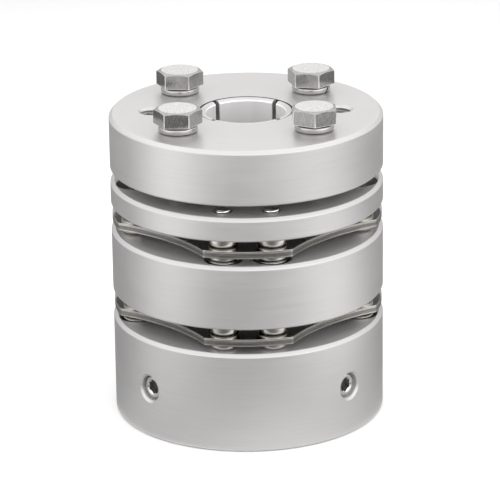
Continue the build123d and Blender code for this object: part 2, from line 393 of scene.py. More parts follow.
class Nodes:
    """A short way to write a material's node tree."""

    def __init__(self, name: str) -> None:
        """Start a material with an empty tree."""
        self.material = bpy.data.materials.new(name)
        self.material.use_nodes = True
        self.tree = self.material.node_tree
        self.tree.nodes.clear()

    def add(self, kind: str, inputs: dict[str | int, object] | None = None,
            **settings: object) -> bpy.types.Node:
        """Add a node.

        Args:
            kind: The node's type name, without ShaderNode.
            inputs: Values for its sockets, or the sockets that feed them.
            settings: Its own properties.

        Returns:
            The node.
        """
        node = self.tree.nodes.new("ShaderNode" + kind)
        for key, value in settings.items():
            setattr(node, key, value)
        for key, value in (inputs or {}).items():
            if isinstance(value, Socket):
                self.tree.links.new(value, node.inputs[key])
            else:
                node.inputs[key].default_value = value
        return node

    def mix(self, factor: object, first: object, second: object) -> Socket:
        """Mix two colours: all of the first at a factor of 0, and all of the second at 1."""
        return self.add("Mix", {0: factor, 6: first, 7: second}, data_type="RGBA").outputs[2]

    def maths(self, operation: str, first: object, second: object = 0.0) -> Socket:
        """Give the result of one sum."""
        return self.add("Math", {0: first, 1: second}, operation=operation).outputs[0]

    def raised(self, value: object, mask: object, change: object) -> Socket:
        """Give a value with a change added where a mask is 1."""
        return self.maths("ADD", value, self.maths("MULTIPLY", mask, change))

    def finished(self, shader: bpy.types.Node) -> bpy.types.Material:
        """Give the material, with a shader on its surface."""
        self.add("OutputMaterial", {"Surface": shader.outputs[0]})
        return self.material

    def spread(self, value: object, low: float, high: float, to_low: float = 0.0,
               to_high: float = 1.0) -> Socket:
        """Give a value moved from one range to another, and held within it."""
        return self.add("MapRange", {"Value": value, "From Min": low, "From Max": high,
                                     "To Min": to_low, "To Max": to_high}).outputs["Result"]


@dataclass(frozen=True)
class Metal:
    """A metal finish: bare or anodised, with the grain that its making left on it, and where asked painted
    shade and painted highlights.

    Attributes:
        name: The material's name.
        colour: Its linear colour.
        roughness: How dull it is, from 0 to 1.
        marks: The way that its tool marks run.
        grain: The width of one tool mark, in millimetres.
        streak: The length of a tool mark, in millimetres. Round an axis it is measured at a radius of 30.
        depth: How deep the marks are, in millimetres.
        uneven: How much the dullness varies.
        tone: How much the colour varies from mark to mark.
        blast: The depth of the fine pits left by blasting, in millimetres.
        pit: The width of one pit, in millimetres.
        metallic: How much of it is bare metal. The rest is the dull white of the anodised skin.
        bore_radius: The radius inside which it is left as bored, in millimetres.
        bore_roughness: How dull it is inside that radius.
        bore_colour: Its linear colour inside that radius.
        painted_side_shade: Painted shade: how bright its upright faces are painted beside its level ones,
            from 0 to 1, in place of the light that falls on them.
        painted_slope_shade: The same painted shade for its sloping faces.
        edge_glint: Painted highlight: how bright its rounded edges are painted beside its level faces, or 0
            where they get none.
        level_roughness: How dull its level faces are, if that differs.
        painted_shade_band: Painted shade: the radii between which it is painted darker, and the height from
            which that starts, where a crevice or a socket holds shade.
        painted_shade_level: How bright the painted shade is beside the rest, from 0 to 1.
        skin: The height below which the level faces keep a thicker dull skin, and how much of them is
            bare metal.
    """

    name: str
    colour: tuple[float, float, float]
    roughness: float
    marks: Marks = Marks.TURNED
    grain: float = 0.12
    streak: float = 6.0
    depth: float = 0.002
    uneven: float = 0.05
    tone: float = 0.04
    blast: float = 0.0
    pit: float = 0.14
    metallic: float = 1.0
    bore_radius: float = 0.0
    bore_roughness: float = 0.6
    bore_colour: tuple[float, float, float] = (0.8, 0.8, 0.8)
    painted_side_shade: float = 1.0
    painted_slope_shade: float = 1.0
    edge_glint: float = 0.0
    level_roughness: float | None = None
    painted_shade_band: tuple[float, float, float] | None = None
    painted_shade_level: float = 0.09
    skin: tuple[float, float] | None = None

    def build(self) -> bpy.types.Material:
        """Make the material.

        Returns:
            A metal with fine tool marks, slow changes of dullness and, where it is blasted, fine pits.
        """
        nodes = Nodes(self.name)
        place = nodes.add("TexCoord").outputs["Object"]
        axes = nodes.add("SeparateXYZ", {0: place}).outputs
        flat = nodes.add("CombineXYZ", {"X": axes["X"], "Y": axes["Y"]}).outputs[0]
        radius = nodes.add("VectorMath", {0: flat}, operation="LENGTH").outputs["Value"]
        marks = self.tool_marks(nodes, place, flat, radius, axes["Z"])
        clouds = nodes.add("TexNoise", {"Vector": place, "Scale": CLOUDS, "Detail": 3.0})
        half = self.uneven / 2
        dull = nodes.maths(
            "ADD", nodes.spread(marks, *COMMON, -self.uneven, self.uneven),
            nodes.spread(clouds.outputs["Fac"], *COMMON, self.roughness - half, self.roughness + half))
        shade = nodes.mix(nodes.spread(marks, *COMMON), self.tint(1 - self.tone), self.tint(1 + self.tone))
        if self.bore_radius:
            middle = self.bore_radius * MM
            bored = nodes.spread(radius, middle + BORE_BLEND, middle - BORE_BLEND)
            dull = nodes.raised(dull, bored, self.bore_roughness - self.roughness)
            shade = nodes.mix(bored, shade, (*self.bore_colour, 1.0))
        normal = nodes.add("NewGeometry").outputs["Normal"]
        upward = nodes.add("SeparateXYZ", {0: normal}).outputs["Z"]
        level = nodes.spread(upward, *LEVEL)
        # Painted shade: upright and sloping faces are painted darker than level ones, by which way they face.
        if self.painted_side_shade < 1.0:
            share = nodes.spread(upward, *SLOPING, self.painted_side_shade, self.painted_slope_shade)
            share = nodes.raised(share, level, nodes.maths("SUBTRACT", 1.0, share))
            shade = nodes.add("VectorMath", {0: shade, "Scale": share}, operation="SCALE").outputs[0]
        # Painted highlight: the faces marked on rounded edges are painted lighter.
        if self.edge_glint:
            edge = nodes.add("Attribute", attribute_name=EDGE_GLINT).outputs["Fac"]
            shade = nodes.mix(edge, shade, self.tint(self.edge_glint))
        if self.level_roughness is not None:
            dull = nodes.raised(dull, level, self.level_roughness - self.roughness)
        # Painted shade: a band of radii is painted darker, where a crevice or a socket holds shade.
        if self.painted_shade_band:
            inner, outer, start = (value * MM for value in self.painted_shade_band)
            band = nodes.maths("MULTIPLY", nodes.spread(radius, inner - SHADE_BAND_BLEND, inner),
                               nodes.spread(radius, outer, outer + SHADE_BAND_BLEND, 1.0, 0.0))
            band = nodes.maths("MULTIPLY", band, nodes.spread(axes["Z"], start - HEIGHT_BLEND, start))
            shade = nodes.mix(band, shade, self.tint(self.painted_shade_level))
        bare: object = self.metallic
        if self.skin:
            top = self.skin[0] * MM
            below = nodes.spread(axes["Z"], top, top + HEIGHT_BLEND, 1.0, 0.0)
            thick = nodes.maths("MULTIPLY", level, below)
            bare = nodes.raised(self.metallic, thick, self.skin[1] - self.metallic)
        return nodes.finished(nodes.add("BsdfPrincipled", {
            "Base Color": shade, "Metallic": bare, "Roughness": dull,
            "Normal": self.relief(nodes, place, marks)}))

    def tint(self, factor: float) -> tuple[float, ...]:
        """Give its colour made darker or lighter by a factor, with an alpha of 1."""
        return (*(part * factor for part in self.colour), 1.0)

    def relief(self, nodes: Nodes, place: Socket, marks: Socket) -> Socket:
        """Make the depth of the tool marks and, where the metal is blasted, of its pits.

        Args:
            nodes: The material's nodes.
            place: The place on the piece.
            marks: The pattern of the tool marks.

        Returns:
            The shading normal.
        """
        normal = nodes.add("Bump", {"Height": marks, "Strength": 1.0, "Distance": self.depth * MM}).outputs[0]
        if not self.blast:
            return normal
        pits = nodes.add("TexNoise", {"Vector": place, "Scale": 1 / (self.pit * MM), "Detail": 2.0})
        return nodes.add("Bump", {"Height": pits.outputs["Fac"], "Strength": 1.0,
                                  "Distance": self.blast * MM, "Normal": normal}).outputs[0]

    def tool_marks(self, nodes: Nodes, place: Socket, flat: Socket, radius: Socket,
                   height: Socket) -> Socket:
        """Make the pattern of the tool marks.

        Args:
            nodes: The material's nodes.
            place: The place on the piece.
            flat: The same place, dropped to the Z = 0 plane.
            radius: Its distance from the axis.
            height: Its height.

        Returns:
            The pattern, from 0 to 1.
        """
        fine, long = 1 / (self.grain * MM), 1 / (self.streak * MM)
        if self.marks is Marks.TURNED:
            around = nodes.add("VectorMath", {0: flat}, operation="NORMALIZE").outputs[0]
            circle = nodes.add("SeparateXYZ", {0: around}).outputs
            per_turn = STREAK_RADIUS / self.streak
            vector = nodes.add("CombineXYZ", {
                "X": nodes.maths("MULTIPLY", circle["X"], per_turn),
                "Y": nodes.maths("MULTIPLY", circle["Y"], per_turn),
                "Z": nodes.maths("MULTIPLY", height, fine)}).outputs[0]
            ring = nodes.maths("MULTIPLY", radius, fine)
            return nodes.add("TexNoise", {"Vector": vector, "W": ring, "Scale": 1.0, "Detail": 3.0,
                                          "Roughness": 0.6}, noise_dimensions="4D").outputs["Fac"]
        scale = (fine, fine, long) if self.marks is Marks.DRAWN else (long, 2 * long, fine)
        vector = nodes.add("Mapping", {"Vector": place, "Scale": scale}).outputs[0]
        return nodes.add("TexNoise", {"Vector": vector, "Scale": 1.0, "Detail": 3.0,
                                      "Roughness": 0.6}).outputs["Fac"]


class Finishes:
    """The finishes of the coupling's pieces."""

    def __init__(self) -> None:
        """Make every material once."""
        # Painted shade darkens the crevice between the clamp ring's mouth and the sleeve.
        self.aluminium = Metal(
            "anodised_aluminium", (0.543, 0.533, 0.53), 0.4, grain=0.24, streak=9.0, blast=0.0005,
            metallic=0.75, bore_radius=9.65, bore_roughness=0.42, bore_colour=(0.95, 0.94, 0.94),
            level_roughness=0.33, painted_shade_band=(10.93, 11.27, 60.0), skin=(64.0, 0.5)).build()
        # Painted light and shade: the same spring steel as a lighter and a darker copy.
        self.lit_sheet = Metal(
            "polished_spring_steel", (0.4, 0.39, 0.37), 0.16, Marks.ROLLED, grain=0.2, streak=9.0,
            depth=0.0015, tone=0.2).build()
        self.shaded_sheet = Metal(
            "oiled_spring_steel", (0.21, 0.2, 0.19), 0.26, Marks.ROLLED, grain=0.2, streak=9.0,
            tone=0.35).build()
        self.bush = Metal(
            "turned_bush_steel", (0.58, 0.565, 0.54), 0.09, Marks.DRAWN, grain=0.5, streak=0.1,
            depth=0.0004, tone=0.03).build()
        self.disc_bolt = Metal(
            "disc_bolt_steel", (0.85, 0.84, 0.82), 0.12, Marks.DRAWN, grain=0.3, streak=1.0,
            depth=0.0005).build()
        # Painted shade on its upright and sloping faces, and a painted highlight on its rounded edges.
        self.clamp_bolt = Metal(
            "forged_stainless", (0.7, 0.69, 0.675), 0.15, Marks.DRAWN, grain=0.28, streak=1.0, depth=0.001,
            tone=0.21, blast=0.013, pit=0.3, painted_side_shade=0.55, painted_slope_shade=0.45, edge_glint=1.3).build()
        self.washer = Metal(
            "drawn_stainless", (0.43, 0.42, 0.41), 0.12, Marks.DRAWN, grain=0.6, streak=0.12,
            depth=0.0006, tone=0.03).build()
        # Painted shade: its socket, and all of it deeper than 30.3 mm from the axis, is painted a little
        # darker.
        self.set_screw = Metal(
            "set_screw_stainless", (0.62, 0.61, 0.595), 0.14, Marks.DRAWN, grain=0.3, streak=0.3,
            depth=0.001, painted_shade_band=(0.0, 30.3, 0.0), painted_shade_level=0.8).build()


# ---- Sub-assemblies ----


@dataclass
class Holes:
    """The holes that the turned bodies share, with their places."""

    bolt_circle: float = 27.0
    half_angle: float = 12.0
    tapped: float = 2.0
    tapped_mouth: float = 2.35
    access: float = 4.5
    access_mouth: float = 4.6
    recess_depth: float = 5.0

    def points(self, sides: Iterable[Side]) -> list[Vector]:
        """Give the bolt centres on some lobes."""
        return [polar(self.bolt_circle, side.value + turn)
                for side in sides for turn in (-self.half_angle, self.half_angle)]

    def tapped_drills(self, sides: Iterable[Side], low: float, high: float) -> list[Solid]:
        """Make the drills of tapped holes."""
        return drill(self.tapped, self.tapped_mouth, low, high).copies(self.points(sides))

    def access_drills(self, sides: Iterable[Side], low: float, high: float) -> list[Solid]:
        """Make the drills of the wide holes that hold bolt heads."""
        return drill(self.access, self.access_mouth, low, high).copies(self.points(sides))


@dataclass
class TurnedBodies:
    """The four turned aluminium bodies: two hubs, the spacer and the clamp ring."""

    finishes: Finishes
    holes: Holes
    rim: float = 32.5
    bore: float = 9.5
    rim_chamfer: float = 0.8
    face_chamfer: float = 0.4
    bore_chamfer: float = 0.6
    spacer_bore: float = 15.0
    flange: float = 5.8
    sleeve_top: float = 11.0
    taper: float = 4.0
    root_fillet: float = 1.2
    sleeve_chamfer: float = 0.2
    sleeve_edge: float = 0.06
    slit_width: float = 1.3
    slit_floor: float = 1.0
    ring_mouth: float = 0.25
    mouth_depth: float = 1.5
    mouth_edge: float = 0.02
    tapped_depth: float = 8.5
    screw_hole: float = 3.0
    screw_mouth: float = 3.6
    screw_floor: float = 5.0
    clamp_circle: float = 22.35
    clamp_thread: float = 3.0
    clamp_thread_mouth: float = 3.15
    clamp_hole: float = 3.3
    clamp_hole_mouth: float = 3.5
    jack_circle: float = 22.3
    jack_hole: float = 2.5
    jack_mouth: float = 3.15
    jack_thread: float = 6.0
    jack_pitch: float = 1.0
    rounding: float = 0.15

    def build(self) -> None:
        """Make all four bodies."""
        self.build_hub()
        self.build_spacer()
        self.build_taper_hub()
        self.build_ring()

    def rim_points(self, low: float, high: float) -> list[tuple[float, float, float]]:
        """Give the outer side of a body, from its lower face to its upper one."""
        soft = self.rounding
        return [
            (self.rim - self.face_chamfer, low, soft / 2),
            (self.rim, low + self.face_chamfer, soft / 2),
            (self.rim, high - self.rim_chamfer, soft),
            (self.rim - self.rim_chamfer, high, soft),
        ]

    def blank(self, bore: float, low: float, high: float) -> Solid:
        """Turn a plain body, with both ends of its bore chamfered."""
        soft = self.rounding / 2
        return Solid.spun((
            (bore, low + self.bore_chamfer, soft), (bore + self.bore_chamfer, low, soft),
            *self.rim_points(low, high),
            (bore + self.bore_chamfer, high, soft), (bore, high - self.bore_chamfer, soft),
        ), TURN_STEPS)

    def clamp_points(self) -> list[Vector]:
        """Give the centres of the clamp bolts."""
        return [polar(self.clamp_circle, corner.value) for corner in Corner]

    def build_hub(self) -> None:
        """Make the hub with the set screws."""
        low, high = span("set_screw_hub")
        body = self.blank(self.bore, low, high)
        body.cut(*self.holes.tapped_drills(HUB_SIDES, high - self.tapped_depth, high),
                 *self.holes.access_drills(SPACER_SIDES, low - PAST, high))
        side_drill = drill(self.screw_hole, self.screw_mouth, self.screw_floor, self.rim)
        body.cut(*(side_drill.copy().moved(outward(angle, (low + high) / 2))
                   for angle in SetScrews.angles.values()))
        body.piece(["set_screw_hub"], "hub_aluminium", self.finishes.aluminium)

    def build_spacer(self) -> None:
        """Make the centre spacer."""
        low, high = span("centre_spacer")
        holes = self.holes
        body = self.blank(self.spacer_bore, low, high)
        lower = drill(holes.access, holes.access_mouth, -low - holes.recess_depth, -low).moved(UPSIDE_DOWN)
        body.cut(*holes.tapped_drills(SPACER_SIDES, low - PAST, high),
                 *holes.access_drills(HUB_SIDES, high - holes.recess_depth, high),
                 *lower.copies(holes.points(HUB_SIDES)))
        body.piece(["centre_spacer"], "spacer_aluminium", self.finishes.aluminium)

    def build_taper_hub(self) -> None:
        """Make the flange with its slit sleeve."""
        low, high = span("taper_hub")
        flange_top = low + self.flange
        soft = self.rounding / 2
        root = self.sleeve_top + (high - flange_top) * math.tan(math.radians(self.taper))
        body = Solid.spun((
            (self.bore, low + self.bore_chamfer, soft), (self.bore + self.bore_chamfer, low, soft),
            *self.rim_points(low, flange_top),
            (root, flange_top, self.root_fillet), (self.sleeve_top, high - self.sleeve_chamfer, EDGE),
            (self.sleeve_top - self.sleeve_chamfer, high, EDGE),
            (self.bore + self.bore_chamfer, high, self.sleeve_edge),
            (self.bore, high - self.bore_chamfer, soft),
        ), TURN_STEPS)
        body.cut(*self.holes.tapped_drills(HUB_SIDES, low - PAST, flange_top),
                 *self.holes.access_drills(SPACER_SIDES, low - PAST, flange_top),
                 *drill(self.clamp_thread, self.clamp_thread_mouth, low - PAST, flange_top)
                 .copies(self.clamp_points()))
        for corner in (Corner.BACK_RIGHT, Corner.BACK_LEFT):
            body.cut(self.slit_cutter(flange_top + self.slit_floor, high + 2 * PAST, corner.value))
        body.piece(["taper_hub"], "flange_aluminium", self.finishes.aluminium)

    def slit_cutter(self, floor: float, top: float, degrees: float) -> Solid:
        """Make the saw that cuts a slit right across the sleeve, with a round floor.

        Args:
            floor: The height of the slit's floor at its middle.
            top: The height that the saw reaches up to.
            degrees: The angle at which the slit lies.

        Returns:
            The saw.
        """
        saw = Solid()
        made = bmesh.ops.create_circle(saw.bm, cap_ends=True, radius=self.slit_width / 2, segments=24)
        bmesh.ops.translate(saw.bm, verts=[v for v in made["verts"] if v.co.y > 0.001],
                            vec=(0, top - floor, 0))
        saw.raised(2 * self.rim)
        upright = Matrix.Rotation(math.radians(degrees), 4, "Z") @ Matrix((
            (0, 0, 1, -self.rim), (1, 0, 0, 0), (0, 1, 0, floor), (0, 0, 0, 1)))
        return saw.moved(upright)

    def build_ring(self) -> None:
        """Make the clamp ring."""
        low, high = span("clamp_ring")
        soft = self.rounding / 2
        slope = math.tan(math.radians(self.taper))
        body = Solid.spun((
            (self.sleeve_top + (high - low) * slope, low, soft), *self.rim_points(low, high),
            (self.sleeve_top + self.ring_mouth, high, EDGE),
            (self.sleeve_top + self.ring_mouth, high - self.mouth_depth, self.mouth_edge),
            (self.sleeve_top + self.mouth_depth * slope, high - self.mouth_depth, 0),
        ), TURN_STEPS)
        jacks = [polar(self.jack_circle, side.value) for side in (Side.RIGHT, Side.LEFT)]
        body.cut(*drill(self.clamp_hole, self.clamp_hole_mouth, low - PAST, high).copies(self.clamp_points()),
                 *drill(self.jack_hole, self.jack_mouth, low - PAST, high).copies(jacks))
        thread = Solid.thread(self.jack_thread, self.jack_pitch, low - 2 * PAST, high + 2 * PAST, FINE_STEPS)
        body.cut(*thread.copies(jacks))
        body.piece(["clamp_ring"], "ring_aluminium", self.finishes.aluminium)


@dataclass
class DiscPack:
    """One pack of laminations with its bushes and bolts."""

    name: str
    finishes: Finishes
    holes: Holes
    rim: float = 32.2
    waist: float = 26.7
    inner: float = 21.5
    lobe_half_angle: float = 18.6
    corner: float = 0.36
    hole: float = 2.1
    bush: float = 3.55
    bush_lower_edge: float = 0.6
    bush_upper_edge: float = 0.4
    bush_hole_edge: float = 0.1
    laminations: int = 6
    edge: float = 0.06
    lobe_steps: int = 24
    waist_steps: int = 28
    hole_steps: int = 40
    inner_steps: int = 160

    def build(self) -> None:
        """Make the laminations, bushes and bolts."""
        for number in range(1, self.laminations + 1):
            self.build_lamination(number)
        for side in Side:
            for level in ("below", "above"):
                self.build_bushes(f"{self.name}_bushes_{level}_{side.name.lower()}", side)
        self.build_bolts()

    def outline(self, bm: bmesh.types.BMesh) -> None:
        """Draw the scalloped outline of a lamination at height 0.

        Args:
            bm: The bmesh that takes the outline's edges.
        """
        half = self.lobe_half_angle
        end = polar(self.rim, half)
        waist = polar(self.waist, 45.0)
        following = polar(self.rim, 90.0 - half)
        # the circle through the two lobe ends and the waist has its centre out along 45 degrees
        chord = (end - following).length / 2
        rise = (waist - (end + following) / 2).length
        radius = (chord ** 2 + rise ** 2) / (2 * rise)
        centre = polar(self.waist + radius, 45.0)
        sweep = 2 * math.asin(chord / radius)
        for side in Side:
            start = bm.verts.new(polar(self.rim, side.value - half))
            made = turn_round(bm, [start], self.lobe_steps, merge=False, angle=math.radians(2 * half))
            last = [g for g in made["geom_last"] if isinstance(g, bmesh.types.BMVert)]
            hub = Matrix.Rotation(math.radians(side.value), 3, "Z") @ centre
            turn_round(bm, last, self.waist_steps, merge=False, angle=-sweep, cent=hub)
        bmesh.ops.remove_doubles(bm, verts=bm.verts[:], dist=0.001)
        corners = [v for v in bm.verts if len(v.link_edges) == 2 and abs(v.co.length - self.rim) < 0.01
                   and self.bend(v) > math.radians(15)]
        round_off(bm, corners, self.corner, 5, "VERTICES")

    @staticmethod
    def bend(vertex: bmesh.types.BMVert) -> float:
        """Give the angle by which a wire turns at a vertex."""
        first, second = (e.other_vert(vertex).co - vertex.co for e in vertex.link_edges)
        return math.pi - first.angle(second)

    def build_lamination(self, number: int) -> None:
        """Make one sheet, counted from below: its outline, eight holes and the round hole in its middle."""
        node = f"{self.name}_lamination_{number}"
        low, high = span(node)
        solid = Solid()
        bm = solid.bm
        self.outline(bm)
        bmesh.ops.create_circle(bm, radius=self.inner, segments=self.inner_steps)
        for point in self.holes.points(Side):
            bmesh.ops.create_circle(bm, radius=self.hole, segments=self.hole_steps, matrix=at(point))
        bmesh.ops.triangle_fill(bm, use_beauty=True, use_dissolve=False, edges=bm.edges[:], normal=(0, 0, 1))
        solid.raised(high - low)
        rims = [e for e in bm.edges if e.is_manifold and e.calc_face_angle(0) > math.radians(60)
                and abs(e.verts[0].co.z - e.verts[1].co.z) < 1e-4]
        round_off(bm, rims, self.edge, 1, "EDGES")
        solid.weld().moved(at(Vector((0, 0, low))))
        # Painted light and shade: the bottom sheet and the top two are painted lighter, the middle ones
        # darker.
        outer = number in (1, self.laminations - 1, self.laminations)
        finish = self.finishes.lit_sheet if outer else self.finishes.shaded_sheet
        solid.piece([node], "spring_steel", finish)

    def build_bushes(self, node: str, side: Side) -> None:
        """Make the two turned bushes at one lobe."""
        low, high = span(node)
        one = Solid.spun(((self.hole, low, self.bush_hole_edge), (self.bush, low, self.bush_lower_edge),
                          (self.bush, high, self.bush_upper_edge), (self.hole, high, self.bush_hole_edge)),
                         FINE_STEPS)
        pair = Solid().joined(one.copies(self.holes.points([side])))
        pair.piece([node], "bush_steel", self.finishes.bush)

    def build_bolts(self) -> None:
        """Make the socket head bolts, from one threaded pattern."""
        pattern = SocketBolt().build()
        for side in Side:
            for number, point in enumerate(self.holes.points([side]), start=1):
                node = f"{self.name}_disc_bolt_{side.name.lower()}_{number}"
                low, high = span(node)
                if (self.name == "upper") == (side in HUB_SIDES):
                    place = at(point + Vector((0, 0, low + SocketBolt.head_height)))
                else:
                    place = at(point + Vector((0, 0, high - SocketBolt.head_height))) @ UPSIDE_DOWN
                pattern.copy().moved(place).piece([node], "disc_bolt_steel", self.finishes.disc_bolt)


@dataclass
class SocketBolt:
    """An M4 socket head bolt. It stands on its head, with its bearing face at height 0."""

    diameter: float = 4.0
    pitch: float = 0.7
    length: float = 12.4
    head: float = 3.5
    head_height: float = 4.0
    socket: float = 3.0
    socket_depth: float = 2.0
    taper: float = 0.16
    taper_length: float = 0.9
    tip: float = 0.12
    rod_start: float = 1.0
    thread_start: float = 0.8
    neck: float = 1.2
    head_chamfer: float = 0.35
    head_edge: float = 0.1

    def build(self) -> Solid:
        """Make the bolt.

        Returns:
            The bolt as one closed solid.
        """
        radius = self.diameter / 2
        bolt = Solid.thread(self.diameter, self.pitch, self.rod_start, self.length + PAST, SMALL_STEPS)
        bolt.combined(Solid.spun((
            (0, self.thread_start, 0), (radius + SPARE, self.thread_start, 0),
            (radius, self.length - self.taper_length, 0), (radius - self.taper, self.length, self.tip),
            (0, self.length, 0)), SMALL_STEPS), Boolean.KEEP)
        base, soft = -self.head_height, self.head_edge
        head = Solid.spun((
            (0, base, 0), (self.head - self.head_chamfer, base, soft),
            (self.head, base + self.head_chamfer, soft), (self.head, 0, soft),
            (radius, 0, 0), (radius, self.neck, 0), (0, self.neck, 0)), FINE_STEPS)
        head.cut(Solid.prism(self.socket, base - PAST, base + self.socket_depth))
        return bolt.combined(head, Boolean.ADD)


@dataclass
class ClampBolts:
    """The four hexagon head bolts of the clamp ring, with their split spring washers."""

    finishes: Finishes
    circle: float = 22.35
    diameter: float = 6.0
    pitch: float = 1.0
    length: float = 22.0
    head_height: float = 4.0
    across_flats: float = 10.0
    face: float = 4.45
    slope: float = 22.0
    side_edge: float = 0.16
    neck: float = 4.15
    neck_height: float = 0.3
    neck_chamfer: float = 0.1
    neck_lap: float = 0.5
    thread_end: float = 1.5
    plain: float = 1.8
    tip: float = 1.0
    washer_outer: float = 4.625
    washer_inner: float = 3.1
    washer_outer_edge: float = 0.5
    washer_inner_edge: float = 0.2
    split: float = 0.5
    slant: float = 0.9
    smooth_below: float = 20.0

    turns: ClassVar[dict[Corner, float]] = {
        Corner.BACK_RIGHT: -12.0, Corner.BACK_LEFT: -7.0, Corner.FRONT_LEFT: -2.0, Corner.FRONT_RIGHT: -29.0}
    splits: ClassVar[dict[Corner, float]] = {
        Corner.BACK_RIGHT: -35.0, Corner.BACK_LEFT: 130.0, Corner.FRONT_LEFT: 70.0, Corner.FRONT_RIGHT: 120.0}

    def build(self) -> None:
        """Make the bolts and washers."""
        pattern = self.build_pattern()
        for corner in Corner:
            name = corner.name.lower()
            top = span(f"clamp_bolt_{name}")[1]
            place = at(polar(self.circle, corner.value, top - self.head_height))
            turn = Matrix.Rotation(math.radians(self.turns[corner]), 4, "Z")
            pattern.copy().moved(place @ turn).piece(
                [f"clamp_bolt_{name}"], "stainless_bolt", self.finishes.clamp_bolt, self.smooth_below)
            self.build_washer(corner)

    def build_pattern(self) -> Solid:
        """Make one bolt that stands at the origin, with its seat at height 0."""
        corner_radius = self.across_flats / math.sqrt(3)
        fall = math.tan(math.radians(self.slope))
        wide = corner_radius + PAST
        head = Solid.prism(self.across_flats, self.neck_height, self.head_height)
        # The rounded edges are marked for a painted highlight.
        head.softened(self.side_edge, 40.0, 3)
        head.combined(Solid.spun((
            (0, -PAST, 0), (wide, -PAST, 0), (wide, self.head_height - (wide - self.face) * fall, 0),
            (self.face, self.head_height, 0), (0, self.head_height, 0)), HEAD_STEPS), Boolean.KEEP)
        lap = self.neck_height + self.neck_lap
        head.combined(Solid.spun((
            (0, 0, 0), (self.neck - self.neck_chamfer, 0, EDGE), (self.neck, self.neck_chamfer, EDGE),
            (self.neck, lap, 0), (0, lap, 0)), HEAD_STEPS), Boolean.ADD)
        radius = self.diameter / 2
        wide = radius + SPARE
        shank = Solid.thread(self.diameter, self.pitch, -self.length - PAST, -PAST, SCREW_STEPS)
        shank.combined(Solid.spun((
            (0, -self.length, 0), (wide - self.tip, -self.length, 0), (wide, -self.length + self.tip, 0),
            (wide, -self.thread_end, 0), (0, -self.thread_end, 0)), SCREW_STEPS), Boolean.KEEP)
        shank.combined(Solid.spun((
            (0, -self.plain, 0), (radius, -self.plain, 0), (radius, PAST, 0), (0, PAST, 0)),
            SCREW_STEPS), Boolean.ADD)
        return head.combined(shank, Boolean.ADD)

    def build_washer(self, corner: Corner) -> None:
        """Make one split spring washer with rounded edges."""
        node = f"spring_washer_{corner.name.lower()}"
        low, high = span(node)
        inner, outer = self.washer_inner_edge, self.washer_outer_edge
        ring = Solid.spun(((self.washer_inner, low, inner), (self.washer_outer, low, outer),
                           (self.washer_outer, high, outer), (self.washer_inner, high, inner)), HEAD_STEPS)
        height = high - low
        saw = Solid()
        bmesh.ops.create_cube(saw.bm, size=1.0)
        bmesh.ops.scale(saw.bm, vec=(2 * self.washer_outer, self.split, height * 1.5), verts=saw.bm.verts[:])
        bmesh.ops.translate(saw.bm, vec=(self.washer_outer, 0, 0), verts=saw.bm.verts[:])
        lean = (2 * self.slant - self.split) / height
        shear = Matrix(((1, 0, 0, 0), (0, 1, lean, 0), (0, 0, 1, 0), (0, 0, 0, 1)))
        turn = Matrix.Rotation(math.radians(self.splits[corner]), 4, "Z")
        saw.moved(at(Vector((0, 0, (low + high) / 2))) @ turn @ shear)
        ring.cut(saw).moved(at(polar(self.circle, corner.value)))
        ring.piece([node], "stainless_washer", self.finishes.washer)


@dataclass
class SetScrews:
    """The two headless set screws in the lower hub."""

    finishes: Finishes
    diameter: float = 6.0
    pitch: float = 1.0
    length: float = 20.0
    face_radius: float = 31.3
    socket: float = 3.0
    socket_depth: float = 3.5
    edge_chamfer: float = 0.6
    face_edge: float = 0.1
    point: float = 1.5
    cup: float = 0.8
    dish: float = 1.9

    angles: ClassVar[dict[str, float]] = {"left": 223.0, "right": 317.0}

    def build(self) -> None:
        """Make both screws from one pattern."""
        face, chamfer = self.face_radius, self.edge_chamfer
        radius = self.diameter / 2
        wide = radius + SPARE
        inner = face - self.length
        screw = Solid.thread(self.diameter, self.pitch, inner - PAST, face + PAST, SCREW_STEPS)
        screw.combined(Solid.spun((
            (0, inner + self.cup, 0), (self.point, inner, 0), (radius - chamfer, inner, 0),
            (wide, inner + chamfer + SPARE, 0), (wide, face - chamfer - SPARE, 0),
            (radius - chamfer, face, self.face_edge), (0, face, 0)), SCREW_STEPS), Boolean.KEEP)
        screw.cut(Solid.prism(self.socket, face - self.socket_depth, face + PAST))
        proud = 0.1
        screw.cut(Solid.spun(((0, face + proud, 0), (self.dish + proud, face + proud, 0),
                              (0, face - self.dish, 0)), SCREW_STEPS))
        height = sum(span("set_screw_hub")) / 2
        for name, angle in self.angles.items():
            screw.copy().moved(outward(angle, height)).piece(
                [f"set_screw_{name}"], "set_screw_steel", self.finishes.set_screw)


# ---- Studio ----


@dataclass(frozen=True)
class Patch:
    """A patch of a light tent's cloth, lit by a lamp behind it.

    Attributes:
        azimuth: The way to it from the coupling, in degrees: 0 is to the front, 90 to the right.
        width: How far the light spreads round the tent, in degrees.
        along: How far along the cloth it is from the coupling's foot, in millimetres.
        spread: How far the light spreads along the cloth, in millimetres.
        strength: How bright it is, where 1 is white.
    """

    azimuth: float
    width: float
    along: float
    spread: float
    strength: float

    def level(self, azimuth: float, along: float) -> float:
        """Give its light at a place on the cloth."""
        across = (azimuth - self.azimuth + 180.0) % 360.0 - 180.0
        away = (along - self.along) / self.spread
        return self.strength * math.exp(-(across / self.width) ** 2 - away ** 2)


